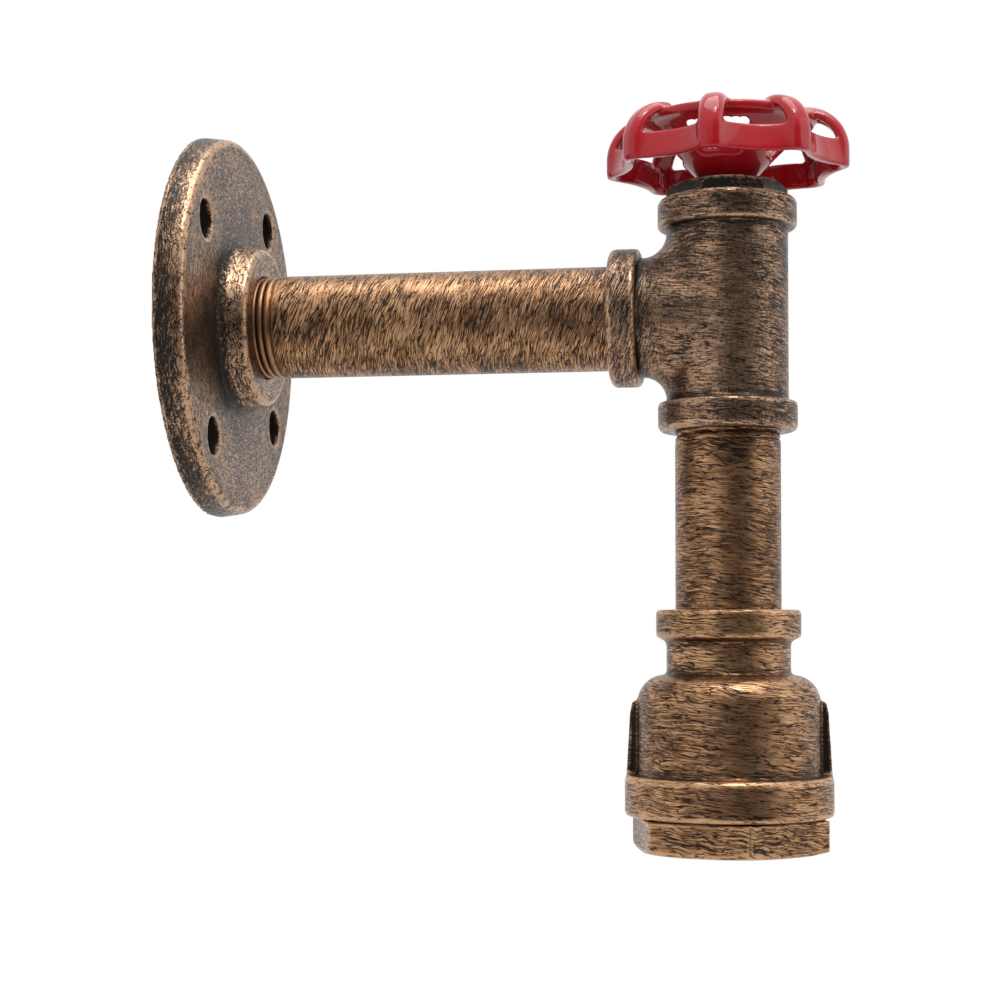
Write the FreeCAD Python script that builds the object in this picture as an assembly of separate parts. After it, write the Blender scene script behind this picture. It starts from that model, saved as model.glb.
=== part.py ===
"""Industrial pipe wall light: iron pipe fittings, a red handwheel and a lampholder that points down.

Millimetres. The wall is the plane X = 0 and the arm runs along +X from the middle of the wall
flange. Z is up. The tee stands at the end of the arm, the handwheel above it and the lamp below it.
"""
import FreeCAD, Part
import math
import os

from FreeCAD import Vector

X_AXIS = Vector(1, 0, 0)
Z_AXIS = Vector(0, 0, 1)
PAST_FACE = 1.0             # a cutter runs past the face it opens by this

# Pipe and pipe thread
PIPE_OD = 26.7
PIPE_BORE = 21.2
THREAD_OD = 26.3
THREAD_DEPTH = 0.9
THREAD_PITCH = 1.81
THREAD_LENGTH = 13.0        # how far a pipe is screwed into a fitting
THREAD_FIT = 0.05           # radial clearance of a male thread in its fitting
MOUTH_FLARE = 0.9           # radial flare at the mouth of a tapped fitting

# Wall flange
FLANGE_OD = 100.0
FLANGE_DRAFT = 1.0
FLANGE_THICKNESS = 7.6
FLANGE_EDGE = 2.0
HUB_ROOT_OD = 44.4
HUB_FACE_OD = 40.6
HUB_HEIGHT = 14.6
HUB_FILLET = 2.4
HUB_EDGE = 1.2
WALL_HOLE_COUNT = 4
WALL_HOLE_CIRCLE = 77.0
WALL_HOLE_TURN = 7.5        # degrees, as the flange stops on its thread
WALL_HOLE_OD = 9.2
WALL_HOLE_CHAMFER = 0.8
PIPE_INSET = 3.0            # the arm's end stops short of the wall by this

# Lengths of pipe that show, and the thread crests that show on them
ARM_SHOW = 91.4
ARM_CREST_COUNT = 3
DROP_SHOW = 45.1
DROP_CREST_COUNT = 1

# Tee
TEE_END = 29.6
TEE_BODY_OD = 30.8
TEE_BRANCH_OD = 30.4
TEE_BEAD_OD = 35.3
TEE_BEAD_WIDTH = 7.5
TEE_WATERWAY = 23.0
TEE_CROTCH = 6.4
BEAD_OUTER_EDGE = 1.5
BEAD_INNER_EDGE = 0.8
BEAD_SINK = 1.0             # the barrels reach into the beads by this
RUNOUT = 1.0                # a tapped bore is deeper than its thread by this

# Plug in the tee's top mouth
PLUG_ACROSS_FLATS = 27.0
PLUG_HEAD = 3.7
PLUG_BODY = 12.0
PLUG_TURN = 9.9             # degrees
HEX_CHAMFER = 0.9

# Reducing socket
SOCKET_LENGTH = 51.8
SOCKET_BEAD_OD = 36.5
SOCKET_BEAD_WIDTH = 6.9
SOCKET_BEAD_SLOPE = 1.0
SOCKET_BEAD_ROOT = 1.5
SOCKET_NECK_OD = 31.3
SOCKET_NECK_END = 16.4
SOCKET_SHOULDER = 7.0       # radius of the rounded shoulder
SHOULDER_ROOT = 0.3
SOCKET_BELL_OD = 46.0
SOCKET_BAND_OD = 52.5
SOCKET_BAND_WIDTH = 10.2
SOCKET_CAVITY = 36.4
RIB_TOP = 23.1
RIB_TOP_OD = 48.6
RIB_END_OD = 51.8
RIB_THICKNESS = 4.4
RIB_CORNER = 0.6
RIB_CORNER_DROP = 3.0
RIB_SINK = 1.0              # into the bell's wall
RIB_TURN = 5.0              # degrees

# Hexagon bushing
BUSHING_THREAD_OD = 41.9
BUSHING_THREAD = 14.0
BUSHING_BORE = 33.4
BUSHING_ACROSS_FLATS = 45.2
BUSHING_HEX = 8.5
BUSHING_GAP = 0.4           # between the hexagon and the socket's band
BUSHING_TURN = -15.1        # degrees

# Handwheel
WHEEL_LOBES = 8
WHEEL_TURN = -4.1           # degrees
WHEEL_OD = 62.0
WHEEL_HOLLOW_OD = 54.4      # across the hollows between the lobes
BAND_HEIGHT = 6.7
BAND_WALL = 2.3
BAND_LOBE_LEAN = 0.5
BAND_HOLLOW_LEAN = 1.5
ARCH_RADIUS = 11.0
ARCH_THICKNESS = 2.8
ARCH_WIDTH = 6.4
ARCH_EDGE = 2.3
ARCH_CENTRE_HEIGHT = 4.6    # above the band's lower edge
ARCH_FOOT = 1.1
LOBE_DROP = 1.3             # from a lobe's tip to its shoulders
RING_OD = 44.8
RING_ID = 38.4
RING_HEIGHT = 2.4
RING_EDGE = 0.8
RING_BELOW_CROWN = 1.9
WEB_THICKNESS = 2.6
WEB_RIM_THICKNESS = 1.8
WEB_HUB_HEIGHT = -2.0       # above the band's lower edge
WEB_WINDOW_COUNT = 4
WEB_WINDOW_INNER = 22.6
WEB_WINDOW_OUTER = 37.0
WEB_WINDOW_SPAN = 54.0      # degrees
WEB_WINDOW_CORNER = 1.6
HUB_OD = 13.4
HUB_TALL = 7.0
HUB_BELOW_BAND = 2.8
HUB_CORNER = 0.8

# Shoulder screw and washer that carry the handwheel
SHOULDER_OD = 5.0
SHOULDER_FIT = 0.05
WHEEL_PLAY = 0.3            # under the hub
WASHER_PLAY = 0.15          # over the hub
WASHER_OD = 10.4
WASHER_THICKNESS = 0.8
SCREW_THREAD_OD = 4.0
SCREW_THREAD = 8.0
SCREW_HEAD_OD = 9.0
SCREW_HEAD = 3.0
SLOT_WIDTH = 1.2
SLOT_DEPTH = 1.3

# Lampholder
HOLDER_FIT = 0.2            # radial clearance of the body in the bushing
HOLDER_RECESS = 3.5         # mouth of the lampholder above the bushing's lower face
COLLAR_OD = 40.4
COLLAR_THICKNESS = 2.0
COLLAR_PLAY = 0.2
HOLDER_TOP_OD = 31.0
HOLDER_FLOOR = 5.0
HOLDER_EDGE = 0.8
SHELL_BORE = 26.6
SHELL_WALL = 0.4
SHELL_DEPTH = 23.5
SHELL_RECESS = 1.0
SHELL_THREAD = 17.4         # length of the cup's wide, threaded part
SHELL_NECK = 23.6           # bore of the cup above its thread
SHELL_NECK_SLOPE = 2.0
SHELL_WINDOW = 13.0
CAP_OD = 29.6
CAP_HEIGHT = 8.0
CAP_WALL = 1.6
CAP_CHAMFER = 2.0

# Contacts, terminals and leads
CONTACT_TRAVEL = 1.5
BUTTON_OD = 6.4
BUTTON_THICKNESS = 1.6
STEM_OD = 3.0
STEM_FIT = 0.05
SPRING_PRESSED = 1.1
SPRING_HEIGHT = SPRING_PRESSED + CONTACT_TRAVEL
SPRING_OD = 5.2
SPRING_WIRE = 0.4
SPRING_TURN_COUNT = 2
STEM_COLLAR_OD = 4.4
STEM_COLLAR = 0.8
STRAP_THICKNESS = 0.8
STRAP_WIDTH = 4.6
PILLAR_OFFSET = 6.5
PILLAR_SIZE = 5.2
PILLAR_HEIGHT = 5.6
TERMINAL_SCREW_OD = 2.5
TERMINAL_HEAD_OD = 4.2
TERMINAL_HEAD = 1.4
RIVET_SPREAD = 7.0
RIVET_OD = 2.4
RIVET_HEAD_OD = 4.0
RIVET_HEAD = 0.7
LEAD_OD = 2.4
LEAD_FIT = 0.1
LEAD_SINK = 4.0             # how far a lead reaches into its pillar
LEAD_BEND = 14.0
LEAD_INSET = 2.0            # the leads end this far in front of the wall

# Places that several pieces share
TEE_X = HUB_HEIGHT + ARM_SHOW + TEE_END
DROP_TOP = -TEE_END
SOCKET_TOP = DROP_TOP - DROP_SHOW
SOCKET_BOTTOM = SOCKET_TOP - SOCKET_LENGTH
HEX_TOP = SOCKET_BOTTOM - BUSHING_GAP
HEX_BOTTOM = HEX_TOP - BUSHING_HEX
BUSHING_END = HEX_TOP + BUSHING_THREAD
COLLAR_TOP = BUSHING_END + COLLAR_THICKNESS
MOUTH_Z = HEX_BOTTOM + HOLDER_RECESS
FLOOR_Z = MOUTH_Z + SHELL_DEPTH
HOLDER_TOP = FLOOR_Z + HOLDER_FLOOR
TAPPED_RADIUS = THREAD_OD / 2 + THREAD_FIT
PLUG_TOP = TEE_END + PLUG_HEAD
HUB_BOTTOM = PLUG_TOP + WHEEL_PLAY
HUB_TOP = HUB_BOTTOM + HUB_TALL
BAND_BOTTOM = HUB_BOTTOM + HUB_BELOW_BAND
ARCH_CENTRE = WHEEL_OD / 2 - ARCH_RADIUS
CROWN_Z = ARCH_CENTRE_HEIGHT + ARCH_RADIUS
RING_TOP = CROWN_Z - RING_BELOW_CROWN


def about_x(along, radius):
    """Point of a profile that is turned about the arm's axis."""
    return Vector(along, radius, 0)


def about_z(radius, height):
    """Point of a profile that is turned about the upright axis."""
    return Vector(radius, 0, height)


def corner_arc(before, corner, after, radius):
    """Start, middle and end of the arc that rounds a corner."""
    to_before = (before - corner).normalize()
    to_after = (after - corner).normalize()
    half = to_before.getAngle(to_after) / 2
    reach = radius / math.tan(half)
    bisector = (to_before + to_after).normalize()
    middle = corner + bisector * (radius / math.sin(half) - radius)
    return corner + to_before * reach, middle, corner + to_after * reach


def profile(place, corners):
    """Face bounded by straight lines, where a corner (a, b, radius) is rounded by its radius."""
    points = [place(corner[0], corner[1]) for corner in corners]
    stops = []
    for index, corner in enumerate(corners):
        before, after = points[index - 1], points[(index + 1) % len(points)]
        rounded = len(corner) == 3
        stops.append(corner_arc(before, points[index], after, corner[2]) if rounded else (points[index],))
    edges = []
    for index, stop in enumerate(stops):
        if len(stop) == 3:
            edges.append(Part.Arc(*stop).toShape())
        following = stops[(index + 1) % len(stops)]
        if (stop[-1] - following[0]).Length > 1e-6:
            edges.append(Part.makeLine(stop[-1], following[0]))
    return Part.Face(Part.Wire(edges))


def turned(place, corners):
    """Solid of revolution of a rounded profile."""
    axis = X_AXIS if place is about_x else Z_AXIS
    return profile(place, corners).revolve(Vector(), axis, 360)


def rod(radius, start, end):
    """Cylinder between two points."""
    return Part.makeCylinder(radius, (end - start).Length, start, end - start)


def upright(radius, low, high, x=0.0, y=0.0):
    """Upright cylinder between two heights."""
    return rod(radius, Vector(x, y, low), Vector(x, y, high))


def block(low, high):
    """Box between two opposite corners."""
    return Part.makeBox(high.x - low.x, high.y - low.y, high.z - low.z, low)


def hexagon(across_flats, low, high, turn, trimmed_low, trimmed_high):
    """Upright hexagonal prism whose corners are trimmed at the ends that show."""
    corner = across_flats / math.sqrt(3)
    angles = [math.radians(turn + 60 * index) for index in range(7)]
    ring = [Vector(corner * math.cos(a), corner * math.sin(a), low) for a in angles]
    prism = Part.Face(Part.makePolygon(ring)).extrude(Vector(0, 0, high - low))
    inside = across_flats / 2
    low_radius = inside if trimmed_low else corner
    high_radius = inside if trimmed_high else corner
    trim = turned(about_z, [(0, low), (low_radius, low), (corner, low + HEX_CHAMFER),
                            (corner, high - HEX_CHAMFER), (high_radius, high), (0, high)])
    return prism.common(trim)


def at_tee(shape):
    """Move a piece from the tee's axis to its place at the end of the arm."""
    shape.translate(Vector(TEE_X, 0, 0))
    return shape


def flared_bore(mouth, inward, depth, place):
    """Tapped bore with a flared mouth; inward is the direction along the axis, +1 or -1."""
    flare = TAPPED_RADIUS + MOUTH_FLARE
    outside = mouth - inward * PAST_FACE
    stations = [(0, outside), (flare, outside), (flare, mouth),
                (TAPPED_RADIUS, mouth + inward * MOUTH_FLARE), (TAPPED_RADIUS, mouth + inward * depth),
                (0, mouth + inward * depth)]
    if place is about_x:
        stations = [(along, radius) for radius, along in stations]
    return turned(place, stations)


def wall_flange():
    rim, face = FLANGE_OD / 2, FLANGE_OD / 2 - FLANGE_DRAFT
    body = turned(about_x, [(0, TAPPED_RADIUS), (0, rim), (FLANGE_THICKNESS, face, FLANGE_EDGE),
                            (FLANGE_THICKNESS, HUB_ROOT_OD / 2, HUB_FILLET),
                            (HUB_HEIGHT, HUB_FACE_OD / 2, HUB_EDGE), (HUB_HEIGHT, TAPPED_RADIUS)])
    body = body.cut(flared_bore(HUB_HEIGHT, -1, HUB_HEIGHT / 2, about_x))
    radius = WALL_HOLE_OD / 2
    for index in range(WALL_HOLE_COUNT):
        angle = math.radians(360 / WALL_HOLE_COUNT * (index + 0.5) + WALL_HOLE_TURN)
        y = WALL_HOLE_CIRCLE / 2 * math.cos(angle)
        z = WALL_HOLE_CIRCLE / 2 * math.sin(angle)
        front = FLANGE_THICKNESS
        flare = radius + WALL_HOLE_CHAMFER
        outside = front + PAST_FACE
        hole = turned(about_x, [(-PAST_FACE, 0), (-PAST_FACE, radius), (front - WALL_HOLE_CHAMFER, radius),
                                (front, flare), (outside, flare), (outside, 0)])
        hole.translate(Vector(0, y, z))
        body = body.cut(hole)
    return body


def crests(mouth, direction, count):
    """Stations (along, radius) of the thread crests that show outside a fitting's mouth."""
    outer, root = THREAD_OD / 2, THREAD_OD / 2 - THREAD_DEPTH
    stations = []
    for index in range(count):
        along = mouth + direction * THREAD_PITCH * index
        stations += [(along, root), (along + direction * THREAD_PITCH / 2, outer)]
    runout = mouth + direction * THREAD_PITCH * count
    return stations + [(runout, root), (runout + direction * THREAD_DEPTH, PIPE_OD / 2)]


def arm_pipe():
    """Nipple from the wall flange to the tee, with its thread run-out beside the flange."""
    bore, thread = PIPE_BORE / 2, THREAD_OD / 2
    end = TEE_X - TEE_END + THREAD_LENGTH
    shoulder = TEE_X - TEE_END - THREAD_FIT
    stations = [(PIPE_INSET, bore), (PIPE_INSET, thread), (HUB_HEIGHT - THREAD_PITCH, thread)]
    stations += crests(HUB_HEIGHT, 1, ARM_CREST_COUNT)
    stations += [(shoulder, PIPE_OD / 2), (shoulder, thread), (end, thread), (end, bore)]
    return turned(about_x, stations)


def drop_pipe():
    """Nipple from the tee down to the reducing socket, with one crest under the tee."""
    bore, thread = PIPE_BORE / 2, THREAD_OD / 2
    top, bottom = DROP_TOP + THREAD_LENGTH, SOCKET_TOP - THREAD_LENGTH
    shoulder = SOCKET_TOP + THREAD_FIT
    stations = [(top, bore), (top, thread), (DROP_TOP + THREAD_PITCH, thread)]
    stations += crests(DROP_TOP, -1, DROP_CREST_COUNT)
    stations += [(shoulder, PIPE_OD / 2), (shoulder, thread), (bottom, thread), (bottom, bore)]
    return at_tee(turned(about_z, [(radius, height) for height, radius in stations]))


def tee_fitting():
    """Banded tee: two crossing barrels with a filleted crotch and a bead at each mouth."""
    bead, inner = TEE_BEAD_OD / 2, TEE_END - TEE_BEAD_WIDTH
    run = upright(TEE_BODY_OD / 2, -inner - BEAD_SINK, inner + BEAD_SINK)
    branch = rod(TEE_BRANCH_OD / 2, Vector(-inner - BEAD_SINK, 0, 0), Vector())
    barrels = run.fuse(branch)
    crotch = [edge for edge in barrels.Edges if not isinstance(edge.Curve, (Part.Circle, Part.Line))]
    body = barrels.makeFillet(TEE_CROTCH, crotch)
    for sign in (1, -1):
        body = body.fuse(turned(about_z, [(0, sign * inner), (bead, sign * inner, BEAD_INNER_EDGE),
                                          (bead, sign * TEE_END, BEAD_OUTER_EDGE), (0, sign * TEE_END)]))
        body = body.cut(flared_bore(sign * TEE_END, -sign, THREAD_LENGTH + RUNOUT, about_z))
    body = body.fuse(turned(about_x, [(-inner, 0), (-inner, bead, BEAD_INNER_EDGE),
                                      (-TEE_END, bead, BEAD_OUTER_EDGE), (-TEE_END, 0)]))
    body = body.cut(flared_bore(-TEE_END, 1, THREAD_LENGTH + RUNOUT, about_x))
    body = body.cut(upright(TEE_WATERWAY / 2, -TEE_END, TEE_END))
    body = body.cut(rod(TEE_WATERWAY / 2, Vector(-TEE_END, 0, 0), Vector()))
    return at_tee(body)


def top_plug():
    """Plug with a low hexagon head, tapped for the shoulder screw."""
    head = hexagon(PLUG_ACROSS_FLATS, TEE_END, PLUG_TOP, PLUG_TURN, False, True)
    plug = head.fuse(upright(THREAD_OD / 2, TEE_END - PLUG_BODY, TEE_END))
    tapped = upright(SCREW_THREAD_OD / 2 + THREAD_FIT, PLUG_TOP - SCREW_THREAD - RUNOUT,
                     PLUG_TOP + PAST_FACE)
    return at_tee(plug.cut(tapped))


def reducing_socket():
    """Bell reducer: turned casting with two side ribs, tapped at both ends."""
    top, bottom = SOCKET_TOP, SOCKET_BOTTOM
    neck_bore_end = top - THREAD_LENGTH - RUNOUT
    cavity_top = neck_bore_end - (SOCKET_CAVITY - TEE_WATERWAY) / 2
    thread = BUSHING_THREAD_OD / 2 + THREAD_FIT
    band = SOCKET_BAND_OD / 2
    band_top = bottom + SOCKET_BAND_WIDTH
    inner_shoulder = COLLAR_TOP + COLLAR_PLAY
    outside = [(TAPPED_RADIUS, top), (SOCKET_BEAD_OD / 2, top, BEAD_INNER_EDGE),
               (SOCKET_BEAD_OD / 2, top - SOCKET_BEAD_WIDTH, BEAD_INNER_EDGE),
               (SOCKET_NECK_OD / 2, top - SOCKET_BEAD_WIDTH - SOCKET_BEAD_SLOPE, SOCKET_BEAD_ROOT),
               (SOCKET_NECK_OD / 2, top - SOCKET_NECK_END, SHOULDER_ROOT),
               (SOCKET_BELL_OD / 2, top - SOCKET_NECK_END, SOCKET_SHOULDER),
               (SOCKET_BELL_OD / 2, band_top, BEAD_INNER_EDGE), (band, band_top, BEAD_OUTER_EDGE),
               (band, bottom, BEAD_INNER_EDGE)]
    inside = [(thread + MOUTH_FLARE, bottom), (thread, bottom + MOUTH_FLARE), (thread, inner_shoulder),
              (SOCKET_CAVITY / 2, inner_shoulder), (SOCKET_CAVITY / 2, cavity_top),
              (TEE_WATERWAY / 2, neck_bore_end), (TAPPED_RADIUS, neck_bore_end)]
    body = turned(about_z, outside + inside)
    for side in (0, 180):
        body = body.fuse(socket_rib(side))
    body = body.cut(flared_bore(top, -1, THREAD_LENGTH / 2, about_z))
    return at_tee(body)


def socket_rib(side):
    """Upright rib from the bell's shoulder down to the band."""
    top, end = SOCKET_TOP - RIB_TOP, SOCKET_BOTTOM + SOCKET_BAND_WIDTH - BEAD_OUTER_EDGE
    root = SOCKET_BELL_OD / 2 - RIB_SINK
    face = profile(about_z, [(root, top), (RIB_TOP_OD / 2, top, RIB_CORNER),
                             (RIB_TOP_OD / 2 + RIB_CORNER, top - RIB_CORNER_DROP),
                             (RIB_END_OD / 2, end), (root, end)])
    rib = face.extrude(Vector(0, RIB_THICKNESS, 0))
    rib.translate(Vector(0, -RIB_THICKNESS / 2, 0))
    rib.rotate(Vector(), Z_AXIS, RIB_TURN + side)
    return rib


def hex_bushing():
    """Bushing that screws into the socket's lower mouth and holds the lampholder."""
    hexagonal = hexagon(BUSHING_ACROSS_FLATS, HEX_BOTTOM, HEX_TOP, BUSHING_TURN, True, True)
    body = hexagonal.fuse(upright(BUSHING_THREAD_OD / 2, HEX_TOP, BUSHING_END))
    bore = BUSHING_BORE / 2
    flare = bore + MOUTH_FLARE
    low, high = HEX_BOTTOM - PAST_FACE, BUSHING_END + PAST_FACE
    hollow = turned(about_z, [(0, low), (flare, low), (flare, HEX_BOTTOM), (bore, HEX_BOTTOM + MOUTH_FLARE),
                              (bore, high), (0, high)])
    return at_tee(body.cut(hollow))


def lobed_loop(tip, hollow, height):
    """Closed loop of arcs: a round lobe at each arch and a shallow hollow between neighbours."""
    step = 2 * math.pi / WHEEL_LOBES
    shoulder = math.asin((ARCH_WIDTH / 2) / tip)
    shoulder_radius = tip - LOBE_DROP

    def point(radius, angle):
        return Vector(radius * math.cos(angle), radius * math.sin(angle), height)

    edges = []
    for index in range(WHEEL_LOBES):
        middle = index * step
        left, right = point(shoulder_radius, middle - shoulder), point(shoulder_radius, middle + shoulder)
        edges.append(Part.Arc(left, point(tip, middle), right).toShape())
        following = point(shoulder_radius, middle + step - shoulder)
        edges.append(Part.Arc(right, point(hollow, middle + step / 2), following).toShape())
    return Part.Wire(edges)


def wheel_band():
    """Scalloped outer band, leaning in towards its top."""
    tip, hollow = WHEEL_OD / 2, WHEEL_HOLLOW_OD / 2
    shells = []
    for wall, below in ((0, 0), (BAND_WALL, PAST_FACE)):
        low = lobed_loop(tip - wall, hollow - wall, -below)
        high = lobed_loop(tip - wall - BAND_LOBE_LEAN, hollow - wall - BAND_HOLLOW_LEAN, BAND_HEIGHT + below)
        shells.append(Part.makeLoft([low, high], True, True))
    return shells[0].cut(shells[1])


def wheel_arch():
    """Rounded strap that rises from a lobe of the band and bends in over the ring."""
    outer, inner = ARCH_RADIUS, ARCH_RADIUS - ARCH_THICKNESS
    centre = Vector(ARCH_CENTRE, -ARCH_WIDTH / 2, CROWN_Z - ARCH_RADIUS)

    def point(radius, degrees):
        angle = math.radians(degrees)
        return centre + Vector(radius * math.cos(angle), 0, radius * math.sin(angle))

    inward = Vector(-BAND_WALL / 2, 0, 0)
    down = Vector(0, 0, ARCH_FOOT - centre.z)
    edges = [Part.makeLine(point(outer, 0) + down, point(outer, 0)),
             Part.Arc(point(outer, 0), point(outer, 45), point(outer, 90)).toShape(),
             Part.makeLine(point(outer, 90), point(outer, 90) + inward),
             Part.makeLine(point(outer, 90) + inward, point(inner, 90) + inward),
             Part.makeLine(point(inner, 90) + inward, point(inner, 90)),
             Part.Arc(point(inner, 90), point(inner, 45), point(inner, 0)).toShape(),
             Part.makeLine(point(inner, 0), point(inner, 0) + down),
             Part.makeLine(point(inner, 0) + down, point(outer, 0) + down)]
    strap = Part.Face(Part.Wire(edges)).extrude(Vector(0, ARCH_WIDTH, 0))
    crown = [edge for edge in strap.Edges
             if isinstance(edge.Curve, Part.Circle) and abs(edge.Curve.Radius - outer) < 1e-6]
    return strap.makeFillet(ARCH_EDGE, crown)


def wheel_web():
    """Dished web from the hub up to the ring, with windows between its spokes."""
    ring_middle = (RING_OD + RING_ID) / 4
    rim_low = RING_TOP - WEB_RIM_THICKNESS
    hub_low = WEB_HUB_HEIGHT
    web = turned(about_z, [(0, hub_low), (HUB_OD / 2, hub_low), (ring_middle, rim_low),
                           (ring_middle, RING_TOP), (HUB_OD / 2, hub_low + WEB_THICKNESS),
                           (0, hub_low + WEB_THICKNESS)])
    half = math.radians(WEB_WINDOW_SPAN / 2)

    def point(diameter, angle):
        return Vector(diameter / 2 * math.cos(angle), diameter / 2 * math.sin(angle), 0)

    inner, outer = WEB_WINDOW_INNER, WEB_WINDOW_OUTER
    edges = [Part.Arc(point(outer, -half), point(outer, 0), point(outer, half)).toShape(),
             Part.makeLine(point(outer, half), point(inner, half)),
             Part.Arc(point(inner, half), point(inner, 0), point(inner, -half)).toShape(),
             Part.makeLine(point(inner, -half), point(outer, -half))]
    window = Part.Face(Part.Wire(edges)).extrude(Vector(0, 0, CROWN_Z))
    upright_edges = [edge for edge in window.Edges
                     if isinstance(edge.Curve, Part.Line) and abs(edge.Length - CROWN_Z) < 1e-6]
    window = window.makeFillet(WEB_WINDOW_CORNER, upright_edges)
    for index in range(WEB_WINDOW_COUNT):
        cutter = window.copy()
        cutter.rotate(Vector(), Z_AXIS, 360 / WEB_WINDOW_COUNT * index)
        web = web.cut(cutter)
    return web


def handwheel():
    """Cast wheel: band, arches, ring, web and hub in one piece."""
    ring_low = RING_TOP - RING_HEIGHT
    ring = turned(about_z, [(RING_ID / 2, ring_low, RING_EDGE), (RING_OD / 2, ring_low, RING_EDGE),
                            (RING_OD / 2, RING_TOP, RING_EDGE), (RING_ID / 2, RING_TOP, RING_EDGE)])
    hub = turned(about_z, [(0, -HUB_BELOW_BAND), (HUB_OD / 2, -HUB_BELOW_BAND, HUB_CORNER),
                           (HUB_OD / 2, HUB_TALL - HUB_BELOW_BAND, HUB_CORNER),
                           (0, HUB_TALL - HUB_BELOW_BAND)])
    wheel = wheel_web().fuse([ring, hub])
    arch = wheel_arch()
    arches = []
    for index in range(WHEEL_LOBES):
        copy = arch.copy()
        copy.rotate(Vector(), Z_AXIS, 360 / WHEEL_LOBES * index)
        arches.append(copy)
    wheel = wheel.fuse(arches + [wheel_band()])
    wheel = wheel.cut(upright(SHOULDER_OD / 2 + SHOULDER_FIT, -HUB_BELOW_BAND - PAST_FACE, HUB_TALL))
    wheel.rotate(Vector(), Z_AXIS, WHEEL_TURN)
    wheel.translate(Vector(0, 0, BAND_BOTTOM))
    return at_tee(wheel)


def wheel_washer():
    low = HUB_TOP + WASHER_PLAY
    washer = upright(WASHER_OD / 2, low, low + WASHER_THICKNESS)
    hole = upright(SHOULDER_OD / 2 + SHOULDER_FIT, low, low + WASHER_THICKNESS)
    return at_tee(washer.cut(hole))


def wheel_screw():
    """Shoulder screw: its shoulder seats on the plug and its head keeps the washer."""
    head_low = HUB_TOP + WASHER_PLAY + WASHER_THICKNESS
    head_top = head_low + SCREW_HEAD
    screw = turned(about_z, [(0, PLUG_TOP - SCREW_THREAD), (SCREW_THREAD_OD / 2, PLUG_TOP - SCREW_THREAD),
                             (SCREW_THREAD_OD / 2, PLUG_TOP), (SHOULDER_OD / 2, PLUG_TOP),
                             (SHOULDER_OD / 2, head_low), (SCREW_HEAD_OD / 2, head_low),
                             (SCREW_HEAD_OD / 2, head_top, SCREW_HEAD / 2), (0, head_top)])
    slot = block(Vector(-SCREW_HEAD_OD, -SLOT_WIDTH / 2, head_top - SLOT_DEPTH),
                 Vector(SCREW_HEAD_OD, SLOT_WIDTH / 2, head_top + PAST_FACE))
    return at_tee(screw.cut(slot))


def holder_body():
    """Porcelain body: its collar sits on the bushing and its floor carries the contacts."""
    outer = BUSHING_BORE / 2 - HOLDER_FIT
    collar, top = COLLAR_OD / 2, HOLDER_TOP_OD / 2
    bore = SHELL_BORE / 2 + SHELL_WALL + STEM_FIT
    body = turned(about_z, [(bore, MOUTH_Z), (outer, MOUTH_Z, HOLDER_EDGE), (outer, BUSHING_END),
                            (collar, BUSHING_END), (collar, COLLAR_TOP), (top, COLLAR_TOP),
                            (top, HOLDER_TOP), (0, HOLDER_TOP), (0, FLOOR_Z), (bore, FLOOR_Z)])
    body = body.cut(upright(STEM_OD / 2 + STEM_FIT, FLOOR_Z, HOLDER_TOP))
    for side in (1, -1):
        rivet = upright(RIVET_OD / 2 + STEM_FIT, FLOOR_Z, HOLDER_TOP, side * RIVET_SPREAD, PILLAR_OFFSET)
        body = body.cut(rivet)
    return at_tee(body)


def holder_cap():
    """Insulating cap over the terminals, with a hole for each lead."""
    outer, top = CAP_OD / 2, HOLDER_TOP + CAP_HEIGHT
    inner = outer - CAP_WALL
    cap = turned(about_z, [(inner, HOLDER_TOP), (outer, HOLDER_TOP), (outer, top, CAP_CHAMFER),
                           (0, top), (0, top - CAP_WALL), (inner, top - CAP_WALL)])
    for side in (1, -1):
        cap = cap.cut(upright(LEAD_OD / 2 + LEAD_FIT, HOLDER_TOP, top, 0, side * PILLAR_OFFSET))
    return at_tee(cap)


def screw_shell():
    """Side contact: a cup under the body's floor, open in the middle for the centre contact."""
    inner, neck, window = SHELL_BORE / 2, SHELL_NECK / 2, SHELL_WINDOW / 2
    low, top = MOUTH_Z + SHELL_RECESS, FLOOR_Z
    slope = low + SHELL_THREAD
    neck_low = slope + SHELL_NECK_SLOPE
    shell = turned(about_z, [(inner, low), (inner + SHELL_WALL, low), (inner + SHELL_WALL, slope),
                             (neck + SHELL_WALL, neck_low), (neck + SHELL_WALL, top), (window, top),
                             (window, top - SHELL_WALL), (neck, top - SHELL_WALL), (neck, neck_low),
                             (inner, slope)])
    for side in (1, -1):
        shell = shell.cut(upright(RIVET_OD / 2 + STEM_FIT, FLOOR_Z - PAST_FACE, FLOOR_Z,
                                  side * RIVET_SPREAD, PILLAR_OFFSET))
    return at_tee(shell)


def centre_contact():
    """Button on a stem that slides through the body's floor, kept by a collar at its tail."""
    button_top = FLOOR_Z - SPRING_HEIGHT
    strap_top = HOLDER_TOP + STRAP_THICKNESS + STEM_FIT
    tail = strap_top + STEM_COLLAR
    button, stem, collar = BUTTON_OD / 2, STEM_OD / 2, STEM_COLLAR_OD / 2
    low = button_top - BUTTON_THICKNESS
    return at_tee(turned(about_z, [(0, low), (button, low, BUTTON_THICKNESS / 2), (button, button_top),
                                   (stem, button_top), (stem, strap_top), (collar, strap_top),
                                   (collar, tail), (0, tail)]))


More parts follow.
